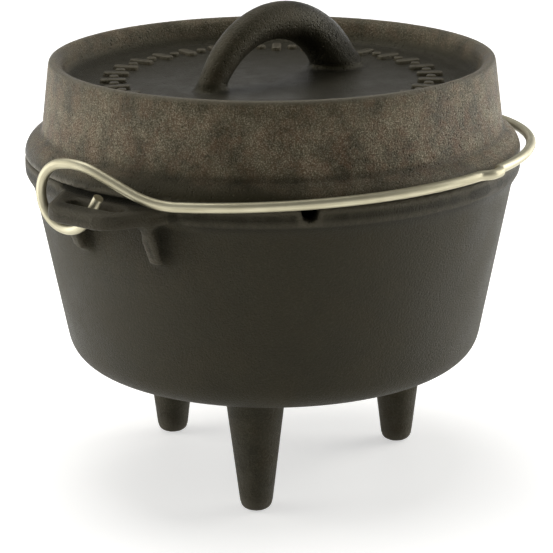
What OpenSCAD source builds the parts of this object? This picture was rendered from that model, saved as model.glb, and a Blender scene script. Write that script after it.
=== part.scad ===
// Small cast-iron camp oven on three legs: a pot, a deep lid and a wire bail.
// Millimetres. The ground is z = 0, the pot's axis is the Z axis and the two ears lie on the X axis.
// The bail lies forward, on the -Y side, with its eyes through the ears.

/* [Pot] */
// Radius of the rim
rim_r = 87; // [80:1:100]
// Height of the rim's seat above the ground
rim_z = 117.3; // [100:0.1:140]
// Height of the pot's underside above the ground
belly_z = 42.6; // [30:0.1:55]
// Radius at which the wall, drawn down, meets the underside
base_r = 72; // [66:1:78]
// Thickness of wall and floor
wall = 5; // [4:0.1:7]
// Outer corner radius between wall and underside
belly_fillet = 11.2; // [9:0.1:16]
// How far the rim band stands out from the wall
band_out = 2.6; // [1:0.1:4]
// Height of the rim band
band_h = 5.8; // [4.5:0.1:8]
// Height of the flare under the rim band
flare_h = 4; // [2:0.1:8]

/* [Legs] */
// Radius of the circle on which the legs stand
leg_ring_r = 49; // [42:1:52]
// Diameter of a leg at the pot
leg_top_d = 21; // [15:0.1:22]
// Diameter of a leg at the ground, before its edge is rounded
leg_foot_d = 10.7; // [9.5:0.1:14]
// Radius of the rounded edge of a foot
foot_round = 3.4; // [2:0.1:4]
// Radius of the fillet between a leg and the pot
leg_fillet = 4; // [2:0.1:5]

/* [Ears] */
// How far an ear reaches past the rim
ear_reach = 17.3; // [16.5:0.1:22]
// Thickness of an ear
ear_t = 5.4; // [4:0.1:6]
// How far an ear's top lies below the rim's seat
ear_drop = 1.3; // [1.2:0.1:2]
// Half the width of an ear's outer face, with its corners
ear_half = 15.5; // [13:0.1:17]
// Corner radius of an ear in plan
ear_corner = 8; // [5:0.1:9]
// Half the angle over which the rim is cut back above an ear
gap_half_angle = 17.5; // [16.5:0.1:22]
// Width of the rim's seat that is left above an ear
gap_seat = 3; // [2:0.1:4]
// Thickness of a gusset rib
rib_t = 4.6; // [3:0.1:4.8]
// Angle of a rib from the middle of the ear
rib_angle = 11; // [9:0.1:11]
// How far a rib reaches out from the rim at its top
rib_reach = 5.5; // [3:0.1:5.7]
// How far a rib runs down the wall below the ear
rib_drop = 14; // [10:0.1:20]
// How far a rib stands out from the wall at its foot
rib_foot = 4.5; // [2:0.1:5]
// Half the length of the hole through an ear
hole_half = 12; // [10:0.1:12.4]

/* [Probe notch] */
// Width of the notch in the rim
notch_w = 5.4; // [4:0.1:8]
// Depth of the notch
notch_depth = 4.4; // [4:0.1:5]
// Direction of the notch about the pot's axis
notch_angle = 225.6; // [215:0.1:320]

/* [Lid] */
// Direction of the handle about the pot's axis, as the lid was put down
lid_turn = -9.5; // [-30:0.5:30]
// Height of the lid above the rim's seat
lid_h = 32.9; // [28:0.1:45]
// Radius of the rounded shoulder above the flange
shoulder_r = 7.2; // [6:0.1:9]
// How far the lid's wall leans in over its height
lid_lean = 3.2; // [1:0.1:6]
// Thickness of the lid's wall at its crest, which is fully rounded
crest_t = 5; // [4:0.1:7]
// Depth of the tray on top of the lid
tray_depth = 8.7; // [6:0.1:14]
// Radius of the cove round the tray's floor
tray_cove = 5.5; // [3:0.1:5.9]
// Thickness of the tray's floor
tray_t = 5; // [4:0.1:7]
// Radius of the inner corner under the lid
dome_fillet = 6; // [3:0.1:9]
// Height of the ring that keeps the lid on the pot
register_h = 2.5; // [1.5:0.1:4]
// Thickness of that ring
register_t = 4; // [2:0.1:5]

/* [Lid handle] */
// Distance between the middles of the handle's feet
handle_span = 60; // [52:0.1:66]
// Height of the handle's top above the tray's floor
handle_h = 26.9; // [24:0.1:34]
// How far the handle's middle lies off the pot's axis, toward its stout foot
handle_shift = 1.2; // [0:0.1:3]
// Angle, on the ellipse that the bow follows, at which it meets the tray
foot_angle = 23; // [5:1:30]
// Thickness of the bow at its slim foot
bow_slim_d = 9.4; // [8:0.1:12]
// Thickness of the bow at its top
bow_top_d = 13; // [10:0.1:14]
// Thickness of the bow at its stout foot
bow_stout_d = 17; // [13:0.1:18]
// How much a foot widens where it meets the tray, as a share of its thickness
foot_flare = 0.16; // [0.05:0.01:0.25]
// Height of that flare
foot_flare_h = 5; // [3:0.1:8]

/* [Bail] */
// Diameter of the wire
wire_d = 3.4; // [2.8:0.1:3.8]
// Distance from the rim out to the plane of an eye
eye_out = 6.5; // [6.3:0.1:7.5]
// Radius of an eye, to the middle of the wire
eye_r = 11; // [10.6:0.1:12]
// How far the front of an eye lies behind the middle of its ear
eye_back = 1.8; // [0.5:0.1:2.5]
// Height of an eye's middle above the top of its ear
eye_rise = 0.6; // [0.5:0.1:1]
// Gap between the rim and the middle of the wire in front
bail_gap = 3.5; // [3:0.1:4.5]
// Height of the bail's plane above the rim's seat, at the line through the ears
bail_lift = -0.9; // [-1:0.1:0]
// Upward slope of the bail from the ears to its middle
bail_slope = 2.85; // [2.8:0.05:4]
// Angle of the bail past the ear at which the arc begins
shank_angle = 18.7; // [18:0.1:20]
// Upward pitch of the wire where it leaves an eye
shank_pitch = 10; // [6:0.5:12]
// Bend radius of the wire where its shank turns down from the eye
shank_bend = 24; // [20:0.5:25]
// Bend radius of the wire where its shank runs into the arc
arc_bend = 36.5; // [30:0.5:38]
// Lean of the wire's end from upright, in its hole
tip_lean = 33; // [28:1:38]
// Height of the wire's end above the ear
tip_rise = 2.4; // [2:0.1:4]
// Depth of the hump that centres a hook in the middle of the bail
hump_h = 2.5; // [1:0.1:2.7]
// Half length of the hump
hump_half = 7; // [7:0.1:12]
// Bend radius of the wire at the hump
hump_bend = 4; // [3:0.1:4]

/* [Fits] */
// Play of the lid's ring in the mouth of the pot
register_play = 1; // [0.5:0.1:2]
// Least play between the wire and the ear
wire_play = 0.3; // [0.2:0.05:0.6]
// Play between the flanks of an ear and the eye that turns round it
eye_play = 0.6; // [0.4:0.05:1]

/* [Hidden] */
$fn = 96;

// A cut runs past the face that it opens by this much
past = 1;
// A blend is sunk this far into the face that it meets
sink = 0.3;
// A straight piece of wire runs this far into the bend that it meets
lap = 0.3;
// A bend is fuller than the straight wire by this much all round, so that the two join cleanly
swell = 0.02;

// Pot: the wall leans out at a steady taper from the underside to the flare
wall_top_z = rim_z - band_h - flare_h;
taper = (rim_r - band_out - base_r) / (wall_top_z - belly_z);
lean = atan(taper);
corner_z = belly_z + belly_fillet;
corner_r = wall_r(corner_z) - belly_fillet / cos(lean);
mouth_r = inner_r(rim_z);

// Ears: the flanks leave room for the eye, which turns in its own plane
ear_top = rim_z - ear_drop;
ear_bottom = ear_top - ear_t;
ear_end = rim_r + ear_reach;
eye_x = rim_r + eye_out;
eye_y = eye_r + eye_back;
eye_z = ear_top + eye_rise;
wire_r = wire_d / 2;
eye_inside = eye_r - wire_r - eye_play;
flank_point = [-(eye_x - wire_r), eye_y + sqrt(pow(eye_inside, 2) - pow(eye_z - ear_bottom, 2))];
corner_point = [-(ear_end - ear_corner), ear_half - ear_corner];
root_x = -(wall_r(ear_bottom) - wall / 2);

// Lid: heights of its crest, tray and hollow
lid_top = rim_z + lid_h;
crest_r = crest_t / 2;
crest_z = lid_top - crest_r;
shoulder_z = rim_z + sink;
lid_wall_r = rim_r - shoulder_r + 1.1;
crest_mid = lid_wall_r - lid_lean - crest_r;
tray_z = lid_top - tray_depth;
cove_r = crest_mid - crest_r - tray_cove;
dome_z = tray_z - tray_t;
register_r = inner_r(rim_z - register_h) - register_play;
hollow_r = register_r - register_t;
hollow_top_r = crest_mid - 1;

// Handle: rings of the lofted bow, points on each ring and the ellipse that the bow follows
bow_rings = 28;
bow_sides = 24;
bow_rise = handle_h - bow_top_d / 2;
bow_half = handle_span / 2 / cos(foot_angle);
bow_high = bow_rise / (1 - sin(foot_angle));
bow_z = tray_z - bow_high * sin(foot_angle);

// Bail: an arc about the pot's axis in its own sloping plane, which two bends join to each eye
bail_r = rim_r + bail_gap;
arc_end_angle = acos(hump_half / bail_r);
eye_exit = 90 + shank_pitch;
tip_start = eye_point(-tip_lean);
tip_end_z = ear_top + tip_rise;
tip_len = (tip_end_z - tip_start[2]) / cos(tip_lean);
tip_dir = [0, -sin(tip_lean), cos(tip_lean)];
hole_w = wire_d + 6 * wire_play;

// Radius of the outer wall at height z
function wall_r(z) = base_r + (z - belly_z) * taper;

// Radius of the inner wall at height z
function inner_r(z) = wall_r(z) - wall / cos(lean);

// Point of tangency, seen from p, on the outer side of a circle in plan
function flank_tangent(p, centre, r) =
    let (d = centre - p)
    let (turn = atan2(d[1], d[0]) - asin(r / norm(d)))
    p + sqrt(d * d - r * r) * [cos(turn), sin(turn)];

// Point on the middle line of the left eye, at an angle that grows from the front upwards
function eye_point(angle) = [-eye_x, eye_y - eye_r * cos(angle), eye_z + eye_r * sin(angle)];

// Point in the bail's sloping plane, from its place in plan
function bail_plane(x, y) = [x, y, rim_z + bail_lift - y * tan(bail_slope)];

// Point at a distance from the middle of the bail's arc, by its angle from the left ear
function arc_point(angle, r) = bail_plane(-r * cos(angle), -r * sin(angle));

function unit(v) = v / norm(v);

// Angle by which a route a, b, c turns at b
function turn_at(a, b, c) = acos(unit(b - a) * unit(c - b));

// Length of straight wire that a bend of radius r takes up on each side of b
function bend_reach(a, b, c, r) = r * tan(turn_at(a, b, c) / 2);

// Place, direction square to the bow and radius of its ring i, in the plane of the handle
function bow_angle(i) = foot_angle + (180 - 2 * foot_angle) * (1 - i / bow_rings);
function bow_mid(i) = [handle_shift + bow_half * cos(bow_angle(i)), 0, bow_z + bow_high * sin(bow_angle(i))];
function bow_normal(i) = atan2(bow_half * sin(bow_angle(i)), bow_high * cos(bow_angle(i)));
function bow_flare(i) = 1 + foot_flare * pow(max(0, 1 - (bow_mid(i)[2] - tray_z) / foot_flare_h), 2);
function bow_d(k) = bow_top_d + k * (k < 0 ? bow_top_d - bow_slim_d : bow_stout_d - bow_top_d);
function bow_r(i) = bow_d(2 * i / bow_rings - 1) / 2 * bow_flare(i);

// Points of ring i. The rings turn evenly from level at one foot, over upright, to level at the other
function bow_turn(i) = 180 * (1 - i / bow_rings);
function bow_ring(i, drop) = [
    for (k = [0 : bow_sides - 1])
        bow_mid(i) - [0, 0, drop]
            + bow_r(i) * (cos(360 * k / bow_sides) / cos(bow_turn(i) - bow_normal(i)) * [cos(bow_turn(i)), 0, sin(bow_turn(i))]
            + sin(360 * k / bow_sides) * [0, 1, 0])
];

// Half section of the pot's outside
module pot_outline() {
    polygon([
        [0, belly_z],
        [corner_r, belly_z],
        [corner_r + belly_fillet * cos(lean), corner_z - belly_fillet * sin(lean)],
        [wall_r(wall_top_z), wall_top_z],
        [rim_r, rim_z - band_h],
        [rim_r, rim_z],
        [0, rim_z]
    ]);
    translate([corner_r, corner_z]) circle(r = belly_fillet);
}

// Half section of the pot's cavity, at the wall's thickness inside the outline
module cavity_outline() {
    inner_fillet = belly_fillet - wall;
    polygon([
        [0, belly_z + wall],
        [corner_r, belly_z + wall],
        [corner_r + inner_fillet * cos(lean), corner_z - inner_fillet * sin(lean)],
        [inner_r(rim_z + past), rim_z + past],
        [0, rim_z + past]
    ]);
    translate([corner_r, corner_z]) circle(r = inner_fillet);
}

// Half section of a leg: rounded foot, taper and a fillet under the pot
module leg_outline() {
    slope = (leg_top_d - leg_foot_d) / 2 / belly_z;
    leg_lean = atan(slope);
    foot_r = leg_foot_d / 2 + foot_round * slope - foot_round / cos(leg_lean);
    fillet_z = belly_z - leg_fillet + sink;
    fillet_r = leg_foot_d / 2 + fillet_z * slope + leg_fillet / cos(leg_lean);
    top_z = belly_z + wall / 2;
    polygon([
        [0, 0],
        [foot_r, 0],
        [foot_r + foot_round * cos(leg_lean), foot_round - foot_round * sin(leg_lean)],
        [leg_top_d / 2, belly_z],
        [leg_top_d / 2, top_z],
        [0, top_z]
    ]);
    intersection() {
        translate([foot_r, foot_round]) circle(r = foot_round);
        square([leg_foot_d, 2 * foot_round]);
    }
    difference() {
        polygon([
            [fillet_r - leg_fillet * cos(leg_lean) - sink, fillet_z + leg_fillet * sin(leg_lean)],
            [fillet_r, fillet_z],
            [fillet_r, fillet_z + leg_fillet],
            [leg_top_d / 2 - sink, fillet_z + leg_fillet]
        ]);
        translate([fillet_r, fillet_z]) circle(r = leg_fillet);
    }
}

// Outline of the left ear in plan
module ear_outline() {
    flank = flank_tangent(flank_point, corner_point, ear_corner);
    slope = (flank_point[1] - flank[1]) / (flank_point[0] - flank[0]);
    root_half = flank_point[1] + slope * (root_x - flank_point[0]);
    polygon([
        [root_x, root_half],
        flank,
        corner_point - [ear_corner, 0],
        [-ear_end, -corner_point[1]],
        [flank[0], -flank[1]],
        [root_x, -root_half]
    ]);
    for (side = [1, -1])
        translate([corner_point[0], side * corner_point[1]]) circle(r = ear_corner);
}

// Oblong hole through the left ear, in plan
module ear_hole() {
    end = hole_half - hole_w / 2;
    translate([-eye_x - hole_w / 2, -end]) square([hole_w, 2 * end]);
    for (side = [1, -1])
        translate([-eye_x, side * end]) circle(d = hole_w);
}

// Gusset rib under an ear, in a radial plane along +X
module rib() {
    foot_z = ear_bottom - rib_drop;
    rotate([90, 0, 0])
        translate([0, 0, -rib_t / 2])
            linear_extrude(height = rib_t)
                polygon([
                    [wall_r(foot_z) - wall / 2, foot_z - rib_t / 2],
                    [wall_r(foot_z) + rib_foot, foot_z],
                    [rim_r + rib_reach, ear_bottom + sink],
                    [wall_r(ear_bottom) - wall / 2, ear_bottom + sink]
                ]);
}

// Left ear: a plate with an oblong hole, on two ribs
module ear() {
    translate([0, 0, ear_bottom])
        linear_extrude(height = ear_t)
            difference() {
                ear_outline();
                ear_hole();
            }
    for (side = [1, -1])
        rotate([0, 0, 180 + side * rib_angle]) rib();
}

// Space cut from the rim above the left ear, so that the ear lies under the lid's edge
module rim_gap() {
    rotate([0, 0, 180 - gap_half_angle])
        rotate_extrude(angle = 2 * gap_half_angle)
            translate([mouth_r + gap_seat, ear_top])
                square([rim_r - mouth_r - gap_seat + past, ear_drop + past]);
}

// Round-bottomed slot across the rim, for the cable of a thermometer
module notch() {
    rotate([0, 0, notch_angle])
        translate([mouth_r - wall, 0, rim_z - notch_depth + notch_w / 2])
            rotate([0, 90, 0]) {
                cylinder(d = notch_w, h = 3 * wall);
                translate([-notch_depth, -notch_w / 2, 0]) cube([notch_depth, notch_w, 3 * wall]);
            }
}

module both_ears() {
    children();
    mirror([1, 0, 0]) children();
}

// Pot: one casting with its legs, ears and ribs
module pot() {
    color("dimgray")
        difference() {
            union() {
                rotate([0, 0, 90])
                    rotate_extrude() difference() {
                        pot_outline();
                        cavity_outline();
                    }
                for (angle = [90, 210, 330])
                    rotate([0, 0, angle])
                        translate([leg_ring_r, 0, 0])
                            rotate_extrude() leg_outline();
                both_ears() ear();
            }
            both_ears() rim_gap();
            notch();
        }
}

// Half section of the lid
module lid_outline() {
    difference() {
        union() {
            polygon([
                [0, rim_z],
                [lid_wall_r, rim_z],
                [lid_wall_r, rim_z + shoulder_r],
                [crest_mid + crest_r, crest_z],
                [crest_mid - crest_r - past, crest_z],
                [0, crest_z]
            ]);
            intersection() {
                translate([rim_r - shoulder_r, shoulder_z]) circle(r = shoulder_r);
                translate([0, rim_z]) square([rim_r + past, lid_h]);
            }
            translate([crest_mid, crest_z]) circle(r = crest_r);
            translate([hollow_r, rim_z - register_h]) square([register_t, register_h + past]);
        }
        translate([0, tray_z]) square([cove_r, lid_h]);
        translate([0, tray_z + tray_cove]) square([cove_r + tray_cove, lid_h]);
        translate([cove_r, tray_z + tray_cove]) circle(r = tray_cove);
        hollow_outline();
    }
}

// Half section of the hollow under the lid
module hollow_outline() {
    low_z = rim_z - register_h - past;
    polygon([
        [0, low_z],
        [hollow_r, low_z],
        [hollow_top_r, dome_z - dome_fillet],
        [hollow_top_r - dome_fillet, dome_z],
        [0, dome_z]
    ]);
    translate([hollow_top_r - dome_fillet, dome_z - dome_fillet]) circle(r = dome_fillet);
}

// Bow of the lid's handle: rings along the upper part of an ellipse, sunk into the tray's floor at both ends
module bow() {
    foot_sink = tray_t / 2;
    rings = concat(
        [bow_ring(0, foot_sink)],
        [for (i = [0 : bow_rings]) bow_ring(i, 0)],
        [bow_ring(bow_rings, foot_sink)]
    );
    last = len(rings) - 1;
    points = [for (ring = rings) for (point = ring) point];
    sides = [
        for (i = [0 : last - 1])
            for (k = [0 : bow_sides - 1])
                let (a = i * bow_sides + k)
                let (b = i * bow_sides + (k + 1) % bow_sides)
                each [[a, b, b + bow_sides], [a, b + bow_sides, a + bow_sides]]
    ];
    first_end = [[for (k = [bow_sides - 1 : -1 : 0]) k]];
    last_end = [[for (k = [0 : bow_sides - 1]) last * bow_sides + k]];
    polyhedron(points = points, faces = concat(sides, first_end, last_end));
}

// Lid: one casting, a deep cap with a tray for embers on top and a handle across it
module lid() {
    color("darkslategray")
        union() {
            rotate_extrude() lid_outline();
            rotate([0, 0, lid_turn]) bow();
        }
}

// Straight wire from a to b, run past each end by the lap given for it
module wire_run(a, b, lap_a, lap_b) {
    d = b - a;
    translate(a - unit(d) * lap_a)
        rotate([0, acos(d[2] / norm(d)), atan2(d[1], d[0])])
            cylinder(d = wire_d, h = norm(d) + lap_a + lap_b);
}

// Part of a ring of wire about the Z axis
module wire_ring(r, angle) {
    rotate_extrude(angle = angle)
        translate([r, 0]) circle(d = wire_d + 2 * swell);
}

// Bend of radius r that a route a, b, c makes at b
module wire_bend(a, b, c, r) {
    along = unit(b - a);
    inward = unit(unit(c - b) - along * (unit(c - b) * along));
    across = cross(-inward, along);
    centre = b - along * bend_reach(a, b, c, r) + inward * r;
    multmatrix([
        [-inward[0], along[0], across[0], centre[0]],
        [-inward[1], along[1], across[1], centre[1]],
        [-inward[2], along[2], across[2], centre[2]],
        [0, 0, 0, 1]
    ])
        wire_ring(r, turn_at(a, b, c));
}

// Wire along a route, with one bend radius for each inner point
module wire_route(route, bends) {
    last = len(route) - 1;
    reach = [
        for (i = [0 : last])
            i == 0 || i == last ? 0 : bend_reach(route[i - 1], route[i], route[i + 1], bends[i - 1])
    ];
    for (i = [0 : last - 1]) {
        step = unit(route[i + 1] - route[i]);
        wire_run(route[i] + step * reach[i], route[i + 1] - step * reach[i + 1], lap, lap);
    }
    for (i = [1 : last - 1])
        wire_bend(route[i - 1], route[i], route[i + 1], bends[i - 1]);
}

// Left eye with the wire's end, which leans up through the hole in the ear
module eye() {
    wire_run(tip_start, tip_start + tip_len * tip_dir, lap, 0);
    translate([-eye_x, eye_y, eye_z])
        rotate([0, 0, -90])
            rotate([90, 0, 0])
                rotate([0, 0, eye_exit])
                    wire_ring(eye_r, 360 - tip_lean - eye_exit);
}

// Bail: one bent wire, alike on both sides, from eye to eye round the front of the pot
module bail() {
    shank_lead = shank_bend * 0.335;
    arc_lead = arc_bend * 0.255;
    leaving = eye_point(eye_exit);
    shank = leaving + shank_lead * [0, -cos(shank_pitch), sin(shank_pitch)];
    arc_start = arc_point(shank_angle, bail_r);
    arc_half = (arc_end_angle - shank_angle) / 2;
    arc_corner = arc_point(shank_angle + arc_half, bail_r / cos(arc_half));
    arc_end = arc_point(arc_end_angle, bail_r);
    before_arc = arc_start - arc_lead * unit(arc_corner - arc_start);
    hump_in = arc_end + hump_half / 4 * unit(arc_end - arc_corner);
    hump_out = bail_plane(-hump_half * 2 / 5, -(bail_r + hump_h));
    left = [leaving, shank, before_arc, arc_corner, hump_in, hump_out];
    right = [for (i = [len(left) - 1 : -1 : 0]) [-left[i][0], left[i][1], left[i][2]]];
    color("silver")
        union() {
            both_ears() eye();
            wire_route(
                concat(left, right),
                [shank_bend, arc_bend, bail_r, hump_bend, hump_bend,
                 hump_bend, hump_bend, bail_r, arc_bend, shank_bend]
            );
        }
}

pot();
lid();
bail();
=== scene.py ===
# %% [markdown]
# # A cast-iron camp oven
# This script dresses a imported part: a small iron pot on three legs, a deep lid and a wire bail.
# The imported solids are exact, with crisp edges. A real casting is soft at its edges and grainy all over,
# so each piece is made again here at the same place and size, with the finish of sand-cast iron or drawn wire.

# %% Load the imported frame
import math

import bmesh
import bpy
import numpy as np
from mathutils import Matrix, Quaternion, Vector


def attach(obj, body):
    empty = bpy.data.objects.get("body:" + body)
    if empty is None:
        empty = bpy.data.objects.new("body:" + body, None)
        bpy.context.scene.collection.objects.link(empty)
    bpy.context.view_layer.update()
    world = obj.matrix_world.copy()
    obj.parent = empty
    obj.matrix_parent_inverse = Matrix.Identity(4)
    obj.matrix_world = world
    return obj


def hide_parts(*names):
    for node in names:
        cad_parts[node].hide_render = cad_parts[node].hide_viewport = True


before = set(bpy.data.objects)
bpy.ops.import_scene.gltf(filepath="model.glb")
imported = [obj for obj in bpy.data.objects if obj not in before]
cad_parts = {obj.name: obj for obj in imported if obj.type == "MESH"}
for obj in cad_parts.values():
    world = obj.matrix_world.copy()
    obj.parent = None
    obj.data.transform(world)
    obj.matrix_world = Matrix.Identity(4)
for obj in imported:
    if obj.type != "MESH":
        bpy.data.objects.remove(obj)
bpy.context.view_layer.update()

MM = 0.001
scene = bpy.context.scene


def add_object(name, data):
    made = bpy.data.objects.new(name, data)
    scene.collection.objects.link(made)
    return made

# %% [markdown]
# ## Camera
# A product photograph is taken from some way off with a long lens, which keeps the rim's ellipses calm.
# The camera's place was worked out from the ellipses of rim and lid: it stands about 17 degrees above the
# horizon. A tiny shift puts the pot a few pixels off the middle, and a roll of about half a degree round the line of
# sight tilts the picture as in the photograph.

# %% Set up the camera
CAMERA_AT = Vector((-0.6228, -0.4831, 0.3045))
CAMERA_TO = Vector((0.0, 0.0, 0.06907))
CAMERA_ROLL = -math.radians(0.47)
lens = bpy.data.cameras.new("oven_camera")
lens.sensor_width = 36.0
lens.lens = 149.23
lens.shift_x, lens.shift_y = 0.0049, 0.001
lens.clip_start, lens.clip_end = 0.05, 20.0
camera = add_object("oven_camera", lens)
sight = CAMERA_TO - CAMERA_AT
camera.location = CAMERA_AT
camera.rotation_mode = "QUATERNION"
camera.rotation_quaternion = sight.to_track_quat("-Z", "Y") @ Quaternion((0, 0, 1), CAMERA_ROLL)
scene.camera = camera
scene.view_settings.view_transform = "Standard"
print("camera", round(sight.length, 3), "m away")

# %% [markdown]
# ## Small helpers for node trees
# Shaders and Geometry Nodes are both trees of nodes with links. One helper adds a node and sets its inputs,
# and a value that is itself a socket becomes a link, so that a tree reads almost like a formula.

# %% Helpers that add nodes and links
def add_node(tree, kind, inputs=None, **settings):
    node = tree.nodes.new(kind)
    for name, value in settings.items():
        setattr(node, name, value)
    for name, value in (inputs or {}).items():
        if isinstance(value, bpy.types.NodeSocket):
            tree.links.new(value, node.inputs[name])
        else:
            node.inputs[name].default_value = value
    return node


def formula(tree, operation, a, b=0.0, c=0.0):
    return add_node(tree, "ShaderNodeMath", {0: a, 1: b, 2: c}, operation=operation).outputs[0]


def mix_color(tree, factor, a, b):
    return add_node(tree, "ShaderNodeMix", {0: factor, 6: a, 7: b}, data_type="RGBA").outputs[2]


def ramp(tree, value, low=0.0, high=1.0, at_low=0.0, at_high=1.0):
    ends = {"From Min": low, "From Max": high, "To Min": at_low, "To Max": at_high}
    return add_node(tree, "ShaderNodeMapRange", {"Value": value, **ends}).outputs[0]


def noise(tree, place, scale, detail, rough, low=0.0, high=1.0):
    made = add_node(tree, "ShaderNodeTexNoise",
                    {"Vector": place, "Scale": scale, "Detail": detail, "Roughness": rough})
    return ramp(tree, made.outputs[0], low, high)

# %% Helpers that make and use node groups
def new_group(name, kind, inputs, outputs):
    tree = bpy.data.node_groups.new(name, kind)
    for label, socket, value in inputs:
        made = tree.interface.new_socket(label, in_out="INPUT", socket_type="NodeSocket" + socket)
        if value is not None:
            made.default_value = value
    for label, socket in outputs:
        tree.interface.new_socket(label, in_out="OUTPUT", socket_type="NodeSocket" + socket)
    return tree, tree.nodes.new("NodeGroupInput").outputs, tree.nodes.new("NodeGroupOutput").inputs


def use_group(tree, group, **inputs):
    named = {label.replace("_", " "): value for label, value in inputs.items()}
    return add_node(tree, "ShaderNodeGroup", named, node_tree=group).outputs

# %% [markdown]
# ## The grain of sand-cast iron
# A sand mould leaves its grain on the iron: a fine pebbled skin with small pits. The group below gives a height for
# the Bump node, from noises in object coordinates at the grain's real size.
# Both castings use it, each with its own grain size, so it is made once as a node group.

# %% Node group for the grain
DUST_FINER, DUST_SHARE, PITS_SPARSER = 3.1, 0.35, 0.55
grain_tree, put_in, put_out = new_group(
    "sand_grain", "ShaderNodeTree",
    [("Grain per metre", "Float", 900.0), ("Pits", "Float", 0.5)], [("Height", "Float")])
place = add_node(grain_tree, "ShaderNodeTexCoord").outputs["Object"]
size = put_in["Grain per metre"]
pebbles = noise(grain_tree, place, size, detail=4.0, rough=0.62)
dust = noise(grain_tree, place, formula(grain_tree, "MULTIPLY", size, DUST_FINER), detail=2.0, rough=0.5)
cells = add_node(grain_tree, "ShaderNodeTexVoronoi",
                 {"Vector": place, "Scale": formula(grain_tree, "MULTIPLY", size, PITS_SPARSER), "Randomness": 1.0})
pit = ramp(grain_tree, cells.outputs["Distance"], low=0.05, high=0.3, at_low=1.0, at_high=0.0)
pit_depth = formula(grain_tree, "MULTIPLY", pit, put_in["Pits"])
skin = formula(grain_tree, "MULTIPLY_ADD", dust, DUST_SHARE, pebbles)
grain_tree.links.new(formula(grain_tree, "SUBTRACT", skin, pit_depth), put_out["Height"])
print("group", grain_tree.name, "with", len(grain_tree.nodes), "nodes")

# %% [markdown]
# ## The mottle of a seasoned surface
# Oil burnt onto iron never lies evenly. Broad soft clouds make the black greyer, smaller stains make it browner, and
# fine flecks stand out where the coat is thin, most of all in the pale clouds. Where the fleck tone is bright, as on
# the lid, the flecks are painted glints as well as bare iron. The group gives a colour that has all of these, from a
# dark, a pale, a brown and a fleck tone.

# %% Node group for the mottle
STAINS_FINER, FLECKS_IN_PALE, FLECKS_ALL_OVER = 1.9, 0.6, 0.42
mottle_tree, put_in, put_out = new_group(
    "seasoning_mottle", "ShaderNodeTree",
    [("Dark", "Color", (0.02, 0.019, 0.016, 1)), ("Pale", "Color", (0.05, 0.047, 0.038, 1)),
     ("Brown", "Color", (0.05, 0.03, 0.018, 1)), ("Clouds per metre", "Float", 45.0),
     ("Brown share", "Float", 0.3), ("Flecks per metre", "Float", 420.0), ("Fleck", "Color", (0.08, 0.07, 0.05, 1)),
     ("Fleck share", "Float", 0.3)],
    [("Color", "Color"), ("Cloud", "Float")])
place = add_node(mottle_tree, "ShaderNodeTexCoord").outputs["Object"]
cloud = noise(mottle_tree, place, put_in["Clouds per metre"], detail=5.0, rough=0.62, low=0.36, high=0.64)
fleck = noise(mottle_tree, place, put_in["Flecks per metre"], detail=2.0, rough=0.75, low=0.47, high=0.68)
stains_per_metre = formula(mottle_tree, "MULTIPLY", put_in["Clouds per metre"], STAINS_FINER)
stain = noise(mottle_tree, place, stains_per_metre, detail=4.0, rough=0.65, low=0.44, high=0.62)
black = mix_color(mottle_tree, cloud, put_in["Dark"], put_in["Pale"])
stained = formula(mottle_tree, "MULTIPLY", stain, put_in["Brown share"])
brown = mix_color(mottle_tree, stained, black, put_in["Brown"])
gathered = formula(mottle_tree, "MULTIPLY_ADD", cloud, FLECKS_IN_PALE, FLECKS_ALL_OVER)
bare_glint = formula(mottle_tree, "MULTIPLY", formula(mottle_tree, "MULTIPLY", fleck, put_in["Fleck share"]), gathered)
mottle_tree.links.new(mix_color(mottle_tree, bare_glint, brown, put_in["Fleck"]), put_out["Color"])
mottle_tree.links.new(cloud, put_out["Cloud"])
print("group", mottle_tree.name, "with", len(mottle_tree.nodes), "nodes")

# %% [markdown]
# ## Worn edges, with painted highlight and painted shade
# Edges that stand out are rubbed paler by hands and hooks, and they also carry a painted highlight, as if they caught
# the light. Inner corners are darkened partly by soot and partly by painted shade. The shader can't know where an edge
# is, so each casting carries an attribute called edge: 0.5 on plain walls, more on ridges and less in corners. This
# group turns it into a colour.

# %% Node group for the worn edges, with painted highlight and shade
# The darkest tone: soot, and painted shade where it darkens corners and the places round the lid's handle.
SHADE_AND_SOOT = (0.006, 0.006, 0.005, 1)
NOOK_SHADE_AND_SOOT = 0.6
wear_and_light_tree, put_in, put_out = new_group(
    "edge_wear", "ShaderNodeTree",
    [("Color", "Color", (0.03, 0.03, 0.03, 1)), ("Rubbed_and_lit", "Color", (0.16, 0.145, 0.11, 1)),
     ("Shade_and_soot", "Color", SHADE_AND_SOOT), ("Amount", "Float", 0.85)],
    [("Color", "Color")])
edge = add_node(wear_and_light_tree, "ShaderNodeAttribute", attribute_name="edge").outputs["Fac"]
# Ridges turn paler, partly by rubbing and partly as a painted highlight; corners turn darker, partly with soot and
# partly as painted shade.
ridge = ramp(wear_and_light_tree, edge, low=0.72, high=1.0)
nook = ramp(wear_and_light_tree, edge, low=0.42, high=0.05)
lit_rubbed_share = formula(wear_and_light_tree, "MULTIPLY", ridge, put_in["Amount"])
lit_rubbed = mix_color(wear_and_light_tree, lit_rubbed_share, put_in["Color"], put_in["Rubbed_and_lit"])
shaded_sooty = mix_color(wear_and_light_tree, formula(wear_and_light_tree, "MULTIPLY", nook, NOOK_SHADE_AND_SOOT), lit_rubbed, put_in["Shade_and_soot"])
wear_and_light_tree.links.new(shaded_sooty, put_out["Color"])
print("group", wear_and_light_tree.name, "with", len(wear_and_light_tree.nodes), "nodes")

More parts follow.
